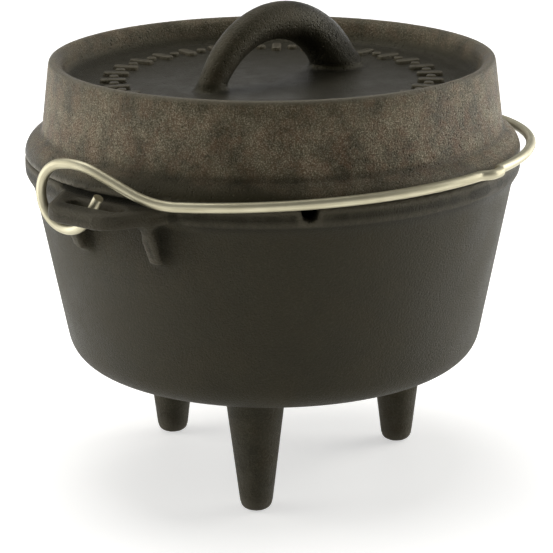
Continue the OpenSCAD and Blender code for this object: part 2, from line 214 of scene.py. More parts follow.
# %% [markdown]
# ## The two irons
# Pot and lid are cast alike, but the lid's skin is coarser and browner than the pot's. Both are the same recipe: mottle
# for the colour, worn edges with painted highlight and shade over it, grain for the bump, and a roughness that wanders
# with the mottle. A second attribute says where the mould was rough and where light or shade is painted. It is high on
# the lid's outer wall, most of all at the flanks that face the side lamps, where it is partly a painted highlight. It
# is high on the ears, and high on the legs, where it is partly painted light against the pot's shadow. It is raised on
# the wall under each ear as painted light. It is low on the pot's wall. It is below zero where the iron is darker,
# partly with soot and partly as painted shade round the lid's handle. On the lid, these darker places are also
# glossier.

# %% Recipe for seasoned iron
THIN_COAT, LEAST_GRAIN = 0.22, 0.22
SMOOTHER, ROUGHER = 0.18, 0.08


def new_material(name):
    material = bpy.data.materials.new(name)
    material.use_nodes = True
    tree = material.node_tree
    tree.nodes.clear()
    shader = add_node(tree, "ShaderNodeBsdfPrincipled")
    tree.links.new(shader.outputs[0], add_node(tree, "ShaderNodeOutputMaterial").inputs[0])
    return material, tree, shader


def seasoned_iron(name, dark, pale, brown, bare_glint, clouds, flecks, brown_share, bare_glint_share,
                  grain, pits, deep, rough, shine, calm, gloss, tint):
    material, tree, shader = new_material(name)
    skin_and_light = add_node(tree, "ShaderNodeAttribute", attribute_name="skin_and_light").outputs["Fac"]
    depth = formula(tree, "MAXIMUM", formula(tree, "MULTIPLY_ADD", skin_and_light, 1 - calm, calm), 0.0)
    # Below zero the colour runs to the darkest tone: partly soot, partly painted shade.
    black = mix_color(tree, formula(tree, "MULTIPLY", skin_and_light, -1.0), (*dark, 1), SHADE_AND_SOOT)
    mottle = use_group(
        tree, mottle_tree, Brown=(*brown, 1), Fleck=(*bare_glint, 1), Clouds_per_metre=clouds, Flecks_per_metre=flecks,
        Dark=mix_color(tree, formula(tree, "MULTIPLY", depth, THIN_COAT), black, (*pale, 1)),
        Pale=mix_color(tree, depth, black, (*pale, 1)),
        Brown_share=formula(tree, "MULTIPLY", depth, brown_share),
        Fleck_share=formula(tree, "MULTIPLY", depth, bare_glint_share))
    worn_and_lit = use_group(tree, wear_and_light_tree, Color=mottle["Color"])
    skin = use_group(tree, grain_tree, Grain_per_metre=grain, Pits=pits)
    either = formula(tree, "MAXIMUM", depth, formula(tree, "ABSOLUTE", skin_and_light))
    height = formula(tree, "MULTIPLY", skin["Height"], formula(tree, "MAXIMUM", either, LEAST_GRAIN))
    bumped = add_node(tree, "ShaderNodeBump", {"Height": height, "Strength": 1.0, "Distance": deep * MM})
    dull = formula(tree, "MULTIPLY_ADD", formula(tree, "MINIMUM", skin_and_light, 0.0), shine, mottle["Cloud"])
    roughness = ramp(tree, dull, low=-1.0, high=1.0, at_low=rough - SMOOTHER, at_high=rough + ROUGHER)
    tree.links.new(worn_and_lit["Color"], shader.inputs["Base Color"])
    tree.links.new(roughness, shader.inputs["Roughness"])
    tree.links.new(bumped.outputs[0], shader.inputs["Normal"])
    shader.inputs["Specular IOR Level"].default_value = gloss
    shader.inputs["Specular Tint"].default_value = (*tint, 1)
    return material

# %% Materials of the castings
pot_iron = seasoned_iron(
    "pot_iron", dark=(0.018, 0.017, 0.0128), pale=(0.115, 0.106, 0.076), brown=(0.06, 0.042, 0.022),
    bare_glint=(0.16, 0.146, 0.105), clouds=38.0, flecks=1400.0, brown_share=0.5, bare_glint_share=0.7, grain=1500.0, pits=0.25,
    deep=2.6, rough=0.5, shine=0.0, calm=0.2, gloss=0.27, tint=(1.0, 0.89, 0.55))
# The lid's fleck tone is nearly white: partly bare iron, partly painted glints on the rough skin.
lid_iron = seasoned_iron(
    "lid_iron", dark=(0.017, 0.0157, 0.0102), pale=(0.32, 0.268, 0.172), brown=(0.2, 0.106, 0.062),
    bare_glint=(1.0, 0.9, 0.69), clouds=95.0, flecks=2200.0, brown_share=0.8, bare_glint_share=0.95, grain=1300.0, pits=0.8,
    deep=1.6, rough=0.44, shine=5.0, calm=0.06, gloss=0.28, tint=(1.0, 0.86, 0.46))
print("materials", pot_iron.name, lid_iron.name)

# %% [markdown]
# ## Drawn steel wire
# Wire is pulled through a die, which leaves fine streaks along its length. The bail's mesh carries an attribute with
# the distance along the wire and the place round it, and a noise that is long in the first and short in the others
# gives streaks that follow every bend.

# %% Material of the bail
DARK_STEEL, PALE_STEEL = (0.38, 0.347, 0.233, 1), (0.64, 0.602, 0.443, 1)
STREAKS_PER_METRE = (60.0, 1500.0, 1500.0)
STREAK_SHARE, CLOUD_SHARE = 0.6, 0.4
bail_steel, tree, shader = new_material("bail_steel")
along = add_node(tree, "ShaderNodeAttribute", attribute_name="along_wire").outputs["Vector"]
stretched = add_node(tree, "ShaderNodeMapping", {"Vector": along, "Scale": STREAKS_PER_METRE}).outputs[0]
streak = noise(tree, stretched, 1.0, detail=3.0, rough=0.6, low=0.3, high=0.7)
cloudy = noise(tree, along, 90.0, detail=2.0, rough=0.5, low=0.3, high=0.7)
shade = formula(tree, "MULTIPLY_ADD", streak, STREAK_SHARE, formula(tree, "MULTIPLY", cloudy, CLOUD_SHARE))
bumped = add_node(tree, "ShaderNodeBump", {"Height": streak, "Strength": 0.25, "Distance": 0.05 * MM})
tree.links.new(mix_color(tree, shade, DARK_STEEL, PALE_STEEL), shader.inputs["Base Color"])
tree.links.new(ramp(tree, shade, at_low=0.56, at_high=0.4), shader.inputs["Roughness"])
tree.links.new(bumped.outputs[0], shader.inputs["Normal"])
shader.inputs["Metallic"].default_value = 1.0
print("material", bail_steel.name)

# %% [markdown]
# ## Floor and light
# The oven stands on a white sweep that fills the picture. The floor is a plain pale surface that catches the shadow. It
# has some light of its own, only for the camera and for reflections, which grows away from the pot, so that the floor
# fades to white without more light on the iron. The room is dim, but shows a white band at the horizon to the same
# rays. Soft panels stand at both sides and above, and the front stays darker, which leaves the middle of the pot dark
# and its flanks pale.

# %% Make the floor
FLOOR_HALF = 4
NEAR_POT, PAST_SHADOW = 0.065, 0.135


def seen_rays(tree):
    ray = add_node(tree, "ShaderNodeLightPath").outputs
    mirrored = formula(tree, "MAXIMUM", ray["Is Glossy Ray"], ray["Is Transmission Ray"])
    return formula(tree, "MAXIMUM", ray["Is Camera Ray"], mirrored)


floor_mesh = bpy.data.meshes.new("floor")
floor_mesh.from_pydata([(x * FLOOR_HALF, y * FLOOR_HALF, 0) for x, y in ((-1, -1), (1, -1), (1, 1), (-1, 1))],
                       [], [(0, 1, 2, 3)])
floor = add_object("floor", floor_mesh)
floor_paint, tree, shader = new_material("floor_paint")
shader.inputs["Base Color"].default_value = (0.745, 0.735, 0.7, 1)
shader.inputs["Roughness"].default_value = 0.6
shader.inputs["Emission Color"].default_value = (1, 1, 1, 1)
place = add_node(tree, "ShaderNodeTexCoord").outputs["Object"]
away = add_node(tree, "ShaderNodeVectorMath", {0: place}, operation="LENGTH").outputs["Value"]
own_light = ramp(tree, away, low=NEAR_POT, high=PAST_SHADOW, at_low=0.53, at_high=0.84)
tree.links.new(formula(tree, "MULTIPLY", seen_rays(tree), own_light), shader.inputs["Emission Strength"])
floor_mesh.materials.append(floor_paint)
print("floor", 2 * FLOOR_HALF, "m wide")

# %% Hang the soft panels
TOWARDS_CAMERA = Vector((CAMERA_AT.x, CAMERA_AT.y, 0)).normalized()
PICTURE_RIGHT = Vector((-TOWARDS_CAMERA.y, TOWARDS_CAMERA.x, 0))
POT_MIDDLE = Vector((0, 0, 0.09))


def panel(name, right, near, up, wide, high, level):
    lamp = bpy.data.lights.new(name, "AREA")
    lamp.shape = "RECTANGLE"
    lamp.size, lamp.size_y = wide, high
    lamp.energy = level * math.pi * wide * high
    hung = add_object(name, lamp)
    hung.location = PICTURE_RIGHT * right + TOWARDS_CAMERA * near + Vector((0, 0, up))
    hung.rotation_mode = "QUATERNION"
    hung.rotation_quaternion = (POT_MIDDLE - hung.location).to_track_quat("-Z", "Y")


panel("panel_left", right=-0.85, near=-0.05, up=0.30, wide=0.7, high=0.8, level=2.45)
panel("panel_right", right=0.85, near=-0.32, up=0.34, wide=0.7, high=0.8, level=3.35)
panel("panel_top", right=-0.2, near=-0.35, up=0.95, wide=0.6, high=0.5, level=3.2)

# %% Light the room
BAND_FROM, BAND_TO = 0.14, 0.26
ROOM_LEVEL, WHITE_LEVEL = 0.26, 1.0
room = bpy.data.worlds.new("room")
scene.world = room
room.use_nodes = True
tree = room.node_tree
background = tree.nodes["Background"].inputs
background["Color"].default_value = (1, 1, 1, 1)
place = add_node(tree, "ShaderNodeTexCoord").outputs["Generated"]
height = add_node(tree, "ShaderNodeSeparateXYZ", {0: place}).outputs["Z"]
band = ramp(tree, height, low=BAND_FROM, high=BAND_TO, at_low=1.0, at_high=0.0)
shown_band = formula(tree, "MULTIPLY", seen_rays(tree), band)
tree.links.new(ramp(tree, shown_band, at_low=ROOM_LEVEL, at_high=WHITE_LEVEL), background["Strength"])
print("room", room.name)

# %% [markdown]
# ## Turning on a lathe, with Geometry Nodes
# Pot, lid and legs are round, so each is one outline turned about an axis. Curve to Mesh sweeps any profile along any
# path: with a circle for the path and the outline laid beside it, the sweep is a lathe. The outline is given as
# radius, height and fillet of each corner.

# %% Node tree for turned pieces
def end_tree(tree, geometry, put_in, put_out):
    whole = add_node(tree, "GeometryNodeRealizeInstances", {"Geometry": geometry})
    painted = add_node(tree, "GeometryNodeSetMaterial",
                       {"Geometry": whole.outputs[0], "Material": put_in["Material"]})
    tree.links.new(painted.outputs[0], put_out["Geometry"])
    print("tree", tree.name, "with", len(tree.nodes), "nodes")


lathe_tree, put_in, put_out = new_group(
    "lathe", "GeometryNodeTree",
    [("Outline", "Geometry", None), ("Path radius", "Float", 0.05), ("Steps", "Int", 192),
     ("Material", "Material", None)], [("Geometry", "Geometry")])
circle = add_node(lathe_tree, "GeometryNodeCurvePrimitiveCircle",
                  {"Resolution": put_in["Steps"], "Radius": put_in["Path radius"]})
sweep = add_node(lathe_tree, "GeometryNodeCurveToMesh",
                 {"Curve": circle.outputs["Curve"], "Profile Curve": put_in["Outline"]})
closed = add_node(lathe_tree, "GeometryNodeMergeByDistance", {"Geometry": sweep.outputs[0], "Distance": 0.01 * MM})
end_tree(lathe_tree, closed.outputs[0], put_in, put_out)

# %% Helpers that run a tree
def evaluated_mesh(worker):
    mesh = bpy.data.meshes.new_from_object(worker.evaluated_get(bpy.context.evaluated_depsgraph_get()))
    bpy.data.objects.remove(worker)
    return mesh


def run_tree(data, tree, **inputs):
    worker = add_object(tree.name, data)
    modifier = worker.modifiers.new(tree.name, "NODES")
    modifier.node_group = tree
    for item in tree.interface.items_tree:
        label = item.name.replace(" ", "_")
        if item.item_type == "SOCKET" and item.in_out == "INPUT" and label in inputs:
            modifier[item.identifier] = inputs[label]
    return evaluated_mesh(worker)


def poly_curve(points, radii=None):
    curve = bpy.data.curves.new("line", "CURVE")
    curve.dimensions = "3D"
    line = curve.splines.new("POLY")
    line.points.add(len(points) - 1)
    for i, (knot, point) in enumerate(zip(line.points, points)):
        knot.co = (*point, 1.0)
        knot.radius = radii[i] if radii is not None else 1.0
    return curve

# %% Helpers that round an outline and turn it
def rounded(corners, step=math.radians(7)):
    points = []
    for i, (*corner, fillet) in enumerate(corners):
        corner = Vector(corner)
        if not fillet:
            points.append(corner)
            continue
        back = (Vector(corners[i - 1][:-1]) - corner).normalized()
        on = (Vector(corners[(i + 1) % len(corners)][:-1]) - corner).normalized()
        opening = back.angle(on)
        centre = corner + (back + on).normalized() * fillet / math.sin(opening / 2)
        first = corner + back * fillet / math.tan(opening / 2) - centre
        last = corner + on * fillet / math.tan(opening / 2) - centre
        sweep = first.angle(last)
        count = max(2, math.ceil(sweep / step))
        for k in range(count + 1):
            spoke = first * math.sin(sweep * (1 - k / count)) + last * math.sin(sweep * k / count)
            points.append(centre + spoke / math.sin(sweep))
    return points


def outward(mesh):
    shape = bmesh.new()
    shape.from_mesh(mesh)
    bmesh.ops.recalc_face_normals(shape, faces=shape.faces)
    shape.to_mesh(mesh)
    shape.free()
    return mesh


def turned(corners, material, path_radius=60.0, steps=192):
    outline = poly_curve([((r - path_radius) * MM, -z * MM, 0.0) for r, z in rounded(corners)])
    return outward(run_tree(outline, lathe_tree, Path_radius=path_radius * MM, Steps=steps, Material=material))

# %% [markdown]
# ## From sharp parts to one casting
# Legs, ears and ribs meet the wall in soft fillets, because molten iron fills a mould of sand. Rather than filleting
# each edge, the parts are laid over each other, and a voxel remesh melts them into one skin that a few passes of
# smoothing round off. The same step measures how far each point stands out from its smoothed surroundings and keeps
# that as the edge attribute, which later carries painted highlight and shade. A rule for each casting then gives a
# second attribute, for the coarse skin and the painted light, from the point's place.

# %% Helpers that make, move and cut parts
MIRROR_X = Matrix.Scale(-1, 4, (1, 0, 0))


def made_mesh(shape, name):
    mesh = bpy.data.meshes.new(name)
    shape.to_mesh(mesh)
    shape.free()
    return mesh


def prism(outline, low, high):
    shape = bmesh.new()
    face = shape.faces.new([shape.verts.new((x * MM, y * MM, low * MM)) for x, y in outline])
    raised = bmesh.ops.extrude_face_region(shape, geom=[face])["geom"]
    lid_verts = [v for v in raised if isinstance(v, bmesh.types.BMVert)]
    bmesh.ops.translate(shape, vec=(0, 0, (high - low) * MM), verts=lid_verts)
    bmesh.ops.recalc_face_normals(shape, faces=shape.faces)
    return made_mesh(shape, "prism")


def placed(mesh, *moves):
    copy = mesh.copy()
    for move in moves:
        copy.transform(move)
    return outward(copy)


def turn(degrees, axis="Z"):
    return Matrix.Rotation(math.radians(degrees), 4, axis)


def joined(meshes):
    shape = bmesh.new()
    for mesh in meshes:
        shape.from_mesh(mesh)
    return made_mesh(shape, "joined")


def carved(mesh, cutters):
    tool = add_object("cutters", joined(cutters))
    worker = add_object("carved", mesh)
    cut = worker.modifiers.new("cut", "BOOLEAN")
    cut.operation, cut.solver, cut.object = "DIFFERENCE", "EXACT", tool
    result = evaluated_mesh(worker)
    bpy.data.objects.remove(tool)
    return result

# %% Helpers that mark edges, coarse skin and painted light
def mark_edges(mesh, passes=10, full=0.35 * MM):
    count = len(mesh.vertices)
    points, normals = np.empty(count * 3), np.empty(count * 3)
    mesh.vertices.foreach_get("co", points)
    mesh.vertices.foreach_get("normal", normals)
    points, normals = points.reshape(-1, 3), normals.reshape(-1, 3)
    pairs = np.empty(len(mesh.edges) * 2, int)
    mesh.edges.foreach_get("vertices", pairs)
    here = np.concatenate([pairs[0::2], pairs[1::2]])
    there = np.concatenate([pairs[1::2], pairs[0::2]])
    links = np.bincount(here, minlength=count)[:, None]
    smooth = points.copy()
    for _ in range(passes):
        around = np.stack([np.bincount(here, smooth[there, k], count) for k in range(3)], 1) / links
        smooth = 0.5 * smooth + 0.5 * around
    stands_out = ((points - smooth) * normals).sum(1)
    values = np.clip(0.5 + stands_out / (2 * full), 0, 1)
    mesh.attributes.new("edge", "FLOAT", "POINT").data.foreach_set("value", values)


def mark_skin_and_light(mesh, level):
    values = [level(math.hypot(v.co.x, v.co.y) / MM, v.co.z / MM, math.atan2(v.co.y, v.co.x)) for v in mesh.vertices]
    mesh.attributes.new("skin_and_light", "FLOAT", "POINT").data.foreach_set("value", values)

# %% Helper that casts parts into one piece
def cast(name, parts, voxel, passes, material, level):
    worker = add_object(name, joined(parts))
    melt = worker.modifiers.new("melt", "REMESH")
    melt.mode, melt.voxel_size = "VOXEL", voxel * MM
    soften = worker.modifiers.new("soften", "SMOOTH")
    soften.factor, soften.iterations = 0.5, passes
    mesh = evaluated_mesh(worker)
    mesh.shade_smooth()
    mark_edges(mesh)
    mark_skin_and_light(mesh, level)
    mesh.materials.clear()
    mesh.materials.append(material)
    print(name, len(mesh.polygons), "faces")
    return add_object(name, mesh)

# %% [markdown]
# ## The pot's wall
# The outline runs from the middle of the underside round the belly, up the leaning wall, over the rim band and down
# the inside. Two shallow gaps are cut into the rim above the ears, and a round-bottomed notch lets a thermometer's
# cable in.

# %% Turn the pot
RIM_R, RIM_Z, BELLY_Z, BASE_R, WALL = 87.0, 117.3, 42.6, 72.0, 5.0
BAND_H, FLARE_H, BAND_OUT = 5.8, 4.0, 2.6
BELLY_FILLET, FLARE_FILLET, BAND_FILLET, RIM_FILLET = 11.2, 5.0, 1.2, 0.8
WALL_TOP = RIM_Z - BAND_H - FLARE_H
TAPER = (RIM_R - BAND_OUT - BASE_R) / (WALL_TOP - BELLY_Z)


def wall_r(z):
    return BASE_R + (z - BELLY_Z) * TAPER


def inner_r(z):
    return wall_r(z) - WALL * math.sqrt(1 + TAPER ** 2)


pot_wall = turned(
    [(0, BELLY_Z, 0), (BASE_R, BELLY_Z, BELLY_FILLET), (wall_r(WALL_TOP), WALL_TOP, FLARE_FILLET),
     (RIM_R, RIM_Z - BAND_H, BAND_FILLET), (RIM_R, RIM_Z, RIM_FILLET), (inner_r(RIM_Z), RIM_Z, RIM_FILLET),
     (inner_r(BELLY_Z + WALL), BELLY_Z + WALL, BELLY_FILLET - WALL), (0, BELLY_Z + WALL, 0)], pot_iron)
print("pot wall", round(wall_r(WALL_TOP), 1), "mm in radius below the rim band")

# %% Cut the gaps and the notch into the rim
PAST = 2
EAR_DROP, EAR_T, GAP_ANGLE, GAP_SEAT = 1.3, 5.4, 17.5, 3.0
EAR_TOP = RIM_Z - EAR_DROP
gap_inside, gap_outside = inner_r(RIM_Z) + GAP_SEAT, RIM_R + PAST
arc = [math.radians(180 + GAP_ANGLE * k / 12) for k in range(-12, 13)]
gap = prism([(gap_inside * math.cos(a), gap_inside * math.sin(a)) for a in arc]
            + [(gap_outside * math.cos(a), gap_outside * math.sin(a)) for a in reversed(arc)], EAR_TOP, RIM_Z + PAST)
NOTCH_W, NOTCH_DEPTH, NOTCH_ANGLE = 5.4, 4.4, 225.6
NOTCH_UP, NOTCH_FROM, NOTCH_TO = 8.0, 75, 95
round_end = [(NOTCH_W / 2 * math.cos(a), -NOTCH_W / 2 * math.sin(a)) for a in np.linspace(0, math.pi, 13)]
notch = prism([(NOTCH_W / 2, NOTCH_UP)] + round_end + [(-NOTCH_W / 2, NOTCH_UP)], NOTCH_FROM, NOTCH_TO)
notch_z = (RIM_Z - NOTCH_DEPTH + NOTCH_W / 2) * MM
notch = placed(notch, turn(90, "X"), turn(90), Matrix.Translation((0, 0, notch_z)), turn(NOTCH_ANGLE))
pot_wall = carved(pot_wall, [gap, placed(gap, MIRROR_X), notch])
print("pot wall", len(pot_wall.polygons), "faces")

# %% [markdown]
# ## Ears and ribs
# Each ear is a flat plate with rounded outer corners and an oblong hole for the wire, held up by two small ribs. Its
# flanks are cut so that the eye of the bail can turn round them. One ear is drawn, and the other is its mirror image.

# %% Outline of an ear
EAR_END, EAR_HALF, EAR_CORNER, EAR_LOW = RIM_R + 17.3, 15.5, 8.0, EAR_TOP - EAR_T
WIRE_R, EYE_R, EYE_PLAY = 1.7, 11.0, 0.6
EYE_X, EYE_Y, EYE_Z = RIM_R + 6.5, EYE_R + 1.8, EAR_TOP + 0.6
flank_x = -(EYE_X - WIRE_R)
flank_y = EYE_Y + math.sqrt((EYE_R - WIRE_R - EYE_PLAY) ** 2 - (EYE_Z - EAR_LOW) ** 2)
corner_x, corner_y = -(EAR_END - EAR_CORNER), EAR_HALF - EAR_CORNER
reach_x, reach_y = corner_x - flank_x, corner_y - flank_y
slant = math.atan2(reach_y, reach_x) - math.asin(EAR_CORNER / math.hypot(reach_x, reach_y))
root_x = -(wall_r(EAR_LOW) - WALL / 2)
root_y = flank_y + math.tan(slant) * (root_x - flank_x)
outer_y = flank_y + math.tan(slant) * (-EAR_END - flank_x)
ear_plan = rounded([(root_x, root_y, 0), (-EAR_END, outer_y, EAR_CORNER), (-EAR_END, -outer_y, EAR_CORNER),
                    (root_x, -root_y, 0)])
print("ear reaches", EAR_END, "mm from the axis")

# %% Make both ears
HOLE_R, HOLE_HALF = 2.6, 12.0
hole_plan = []
for side in (1, -1):
    for a in np.linspace(-side * math.pi / 2, side * math.pi / 2, 9):
        hole_plan.append((-EYE_X + HOLE_R * math.sin(a), side * (HOLE_HALF - HOLE_R) + side * HOLE_R * math.cos(a)))
ear = carved(prism(ear_plan, EAR_LOW, EAR_TOP), [prism(hole_plan, EAR_LOW - PAST, EAR_TOP + PAST)])
LAP = 0.3
RIB_T, RIB_ANGLE, RIB_DROP, RIB_FOOT, RIB_REACH = 4.6, 11.0, 14.0, 3.6, 5.5
rib_low, rib_top = EAR_LOW - RIB_DROP, EAR_LOW + LAP
rib_plan = [(wall_r(rib_low) - WALL / 2, rib_low - RIB_T / 2), (wall_r(rib_low) + RIB_FOOT, rib_low),
            (RIM_R + RIB_REACH, rib_top), (wall_r(EAR_LOW) - WALL / 2, rib_top)]
rib = placed(prism(rib_plan, -RIB_T / 2, RIB_T / 2), turn(90, "X"))
left_ear = [ear] + [placed(rib, turn(180 + side * RIB_ANGLE)) for side in (1, -1)]
ears = left_ear + [placed(mesh, MIRROR_X) for mesh in left_ear]
print("ears and ribs", len(ears), "parts")

# %% [markdown]
# ## Three legs
# A leg is turned from one outline, with a rounded foot and a flare where it runs into the belly. A node tree puts a
# copy on each point of a ring and turns it to face outward, which is how anything that repeats round an axis is best
# placed.

# %% Node tree for rings of copies
ring_tree, put_in, put_out = new_group(
    "stand_on_ring", "GeometryNodeTree",
    [("Piece", "Geometry", None), ("Count", "Int", 3), ("Ring radius", "Float", 0.05), ("First angle", "Float", 0.0),
     ("Material", "Material", None)], [("Geometry", "Geometry")])
points = add_node(ring_tree, "GeometryNodeMeshCircle", {"Vertices": put_in["Count"], "Radius": put_in["Ring radius"]})
heading = add_node(ring_tree, "ShaderNodeCombineXYZ", {"Z": put_in["First angle"]})
spun = add_node(ring_tree, "GeometryNodeTransform", {"Geometry": points.outputs[0], "Rotation": heading.outputs[0]})
share = formula(ring_tree, "DIVIDE", add_node(ring_tree, "GeometryNodeInputIndex").outputs[0], put_in["Count"])
facing = add_node(ring_tree, "ShaderNodeCombineXYZ",
                  {"Z": formula(ring_tree, "MULTIPLY_ADD", share, 2 * math.pi, put_in["First angle"])})
copies = add_node(ring_tree, "GeometryNodeInstanceOnPoints",
                  {"Points": spun.outputs[0], "Instance": put_in["Piece"], "Rotation": facing.outputs[0]})
end_tree(ring_tree, copies.outputs[0], put_in, put_out)

# %% Turn one leg and stand three on a ring
LEGS, LEG_RING, LEG_TOP_R, LEG_FOOT_R = 3, 49.0, 10.5, 5.35
FOOT_ROUND, LEG_FILLET, LEG_FLARE = 3.2, 4.0, 5
leg = turned([(0, 0, 0), (LEG_FOOT_R, 0, FOOT_ROUND), (LEG_TOP_R, BELLY_Z, LEG_FILLET),
              (LEG_TOP_R + LEG_FLARE, BELLY_Z + LAP, 0), (LEG_TOP_R, BELLY_Z + WALL / 2, 0),
              (0, BELLY_Z + WALL / 2, 0)], pot_iron, path_radius=5.0, steps=64)
legs = run_tree(leg, ring_tree, Count=LEGS, Ring_radius=LEG_RING * MM, First_angle=math.pi / 2, Material=pot_iron)
print("legs", LEGS, "on a ring of", LEG_RING, "mm")

# %% [markdown]
# ## Casting the pot
# The pot's rule reads like a table. The legs are rough and paler, partly from coarse skin and partly from painted light
# against the pot's shadow on them. The wall is calm, with a darker band just below the rim band. The ears are rough,
# and there is a patch of painted light on the wall under each ear, where the ear casts its shadow.

# %% Cast the pot
def pot_skin_and_light(r, z, angle):
    # Legs paler, partly coarse skin and partly painted light against the pot's shadow; darker just below the rim band.
    wall = np.interp(z, (BELLY_Z - 8, BELLY_Z, RIM_Z - BAND_H - 4, RIM_Z - BAND_H), (0.85, 0.0, 0.0, -0.4))
    # Painted light on the wall under each ear, against the ear's shadow.
    painted_light_under_ear = np.interp(abs(math.cos(angle)), (0.92, 0.98), (0.0, 0.5))
    wall += painted_light_under_ear * np.interp(z, (EAR_LOW - 30, EAR_LOW - 6, EAR_LOW, EAR_LOW + 2), (0.0, 1.0, 1.0, 0.0))
    plate = np.interp(z, (EAR_LOW - 5, EAR_LOW), (wall, 1.0))
    return float(np.interp(r, (RIM_R + 0.5, RIM_R + 3.0), (wall, plate)))


pot = cast("pot_casting", [pot_wall, legs, *ears], voxel=1.24, passes=3, material=pot_iron, level=pot_skin_and_light)

# %% [markdown]
# ## The lid
# The lid is a deep cap with a rolled shoulder, a thick leaning wall and a sunken tray on top for embers. Below it has
# a low ring that drops into the mouth of the pot.

# %% Turn the lid's cap
LID_TOP, TRAY_Z = RIM_Z + 32.9, RIM_Z + 24.2
SHOULDER_R, SHOULDER_IN, LID_LEAN, CREST_T, TRAY_T = 7.2, 1.1, 3.2, 5.0, 5.0
TRAY_COVE, CREST_INNER, CREST_OUTER, LIP_EDGE, DOME_FILLET, DOME_IN = 5.5, 3.9, 0.9, 0.25, 6, 3.5
REGISTER_H, REGISTER_T, REGISTER_PLAY, REGISTER_EDGE = 2.5, 4, 1.0, 0.6
CREST_OUT = RIM_R - SHOULDER_R + SHOULDER_IN - LID_LEAN
TRAY_R, REGISTER_R = CREST_OUT - CREST_T, inner_r(RIM_Z - REGISTER_H) - REGISTER_PLAY
register_z, dome_z = RIM_Z - REGISTER_H, TRAY_Z - TRAY_T
shoulder = [(RIM_R - SHOULDER_R + SHOULDER_R * math.cos(a), RIM_Z + LAP + SHOULDER_R * math.sin(a), 0)
            for a in np.linspace(math.acos(SHOULDER_IN / SHOULDER_R), 0, 12)]
above = [(0, TRAY_Z, 0), (TRAY_R, TRAY_Z, TRAY_COVE), (TRAY_R, LID_TOP, CREST_INNER), (CREST_OUT, LID_TOP, CREST_OUTER)]
below = [(RIM_R, RIM_Z, LIP_EDGE), (REGISTER_R, RIM_Z, 0), (REGISTER_R, register_z, REGISTER_EDGE),
         (REGISTER_R - REGISTER_T, register_z, REGISTER_EDGE), (CREST_OUT - DOME_IN, dome_z, DOME_FILLET),
         (0, dome_z, 0)]
lid_cap = turned(above + shoulder + below, lid_iron)
print("lid cap", len(lid_cap.polygons), "faces")

# %% [markdown]
# ## Bars that follow a path, with Geometry Nodes
# The handle and the bail are both round bars along a curve. One tree sweeps a circle along the curve, thick or thin as
# the curve's radius says, and stores where each point lies along and round the bar for the shader.

# %% Node tree for swept bars
bar_tree, put_in, put_out = new_group(
    "swept_bar", "GeometryNodeTree",
    [("Path", "Geometry", None), ("Sides", "Int", 24), ("Material", "Material", None)], [("Geometry", "Geometry")])
thickness = add_node(bar_tree, "GeometryNodeInputRadius").outputs[0]
path = add_node(bar_tree, "GeometryNodeCaptureAttribute")
path.capture_items.new("FLOAT", "Run")
path.capture_items.new("FLOAT", "Thick")
bar_tree.links.new(put_in["Path"], path.inputs["Geometry"])
bar_tree.links.new(add_node(bar_tree, "GeometryNodeSplineParameter").outputs["Length"], path.inputs["Run"])
bar_tree.links.new(thickness, path.inputs["Thick"])
ring = add_node(bar_tree, "GeometryNodeCurvePrimitiveCircle", {"Resolution": put_in["Sides"], "Radius": 1.0})
profile = add_node(bar_tree, "GeometryNodeCaptureAttribute")
profile.capture_items.new("FLOAT", "Around")
bar_tree.links.new(ring.outputs["Curve"], profile.inputs["Geometry"])
bar_tree.links.new(add_node(bar_tree, "GeometryNodeSplineParameter").outputs["Factor"], profile.inputs["Around"])
sweep = add_node(bar_tree, "GeometryNodeCurveToMesh",
                 {"Curve": path.outputs["Geometry"], "Profile Curve": profile.outputs["Geometry"], "Scale": thickness,
                  "Fill Caps": True})
angle = formula(bar_tree, "MULTIPLY", profile.outputs["Around"], 2 * math.pi)
across = formula(bar_tree, "MULTIPLY", formula(bar_tree, "COSINE", angle), path.outputs["Thick"])
upward = formula(bar_tree, "MULTIPLY", formula(bar_tree, "SINE", angle), path.outputs["Thick"])
spot = add_node(bar_tree, "ShaderNodeCombineXYZ", {"X": path.outputs["Run"], "Y": across, "Z": upward})
kept = add_node(bar_tree, "GeometryNodeStoreNamedAttribute",
                {"Geometry": sweep.outputs[0], "Name": "along_wire", "Value": spot.outputs[0]},
                data_type="FLOAT_VECTOR", domain="POINT")
end_tree(bar_tree, kept.outputs[0], put_in, put_out)


def swept(points, radii, sides, material):
    line = poly_curve([Vector(p) * MM for p in points], [r * MM for r in radii])
    return outward(run_tree(line, bar_tree, Sides=sides, Material=material))

# %% [markdown]
# ## The bow of the handle
# The handle is cast with the lid: the upper part of an ellipse, which grows stouter from one foot to the other and
# flares a little where it meets the tray. It is melted into the cap by the same remesh as the ears of the pot.

# %% Sweep the bow
LID_TURN, SPAN_HALF, BOW_H, BOW_SHIFT, BOW_SINK, FOOT_ANGLE = -9.5, 30.0, 26.9, 1.2, 2.5, math.radians(23)
SLIM_R, TOP_R, STOUT_R, FLARE, FLARE_UP = 4.7, 6.5, 8.5, 0.16, 5.0
BOW_STEPS = 60
bow_half, bow_high = SPAN_HALF / math.cos(FOOT_ANGLE), (BOW_H - TOP_R) / (1 - math.sin(FOOT_ANGLE))
bow_points, bow_radii = [], []
for k in range(BOW_STEPS + 1):
    a = FOOT_ANGLE + (math.pi - 2 * FOOT_ANGLE) * (1 - k / BOW_STEPS)
    lift = bow_high * (math.sin(a) - math.sin(FOOT_ANGLE))
    bow_points.append((BOW_SHIFT + bow_half * math.cos(a), 0, TRAY_Z + lift))
    thick = float(np.interp(k, (0, BOW_STEPS / 2, BOW_STEPS), (SLIM_R, TOP_R, STOUT_R)))
    bow_radii.append(thick * (1 + FLARE * max(0, 1 - lift / FLARE_UP) ** 2))
sunk_feet = [(*bow_points[end][:2], TRAY_Z - BOW_SINK) for end in (0, -1)]
bow_points = sunk_feet[:1] + bow_points + sunk_feet[1:]
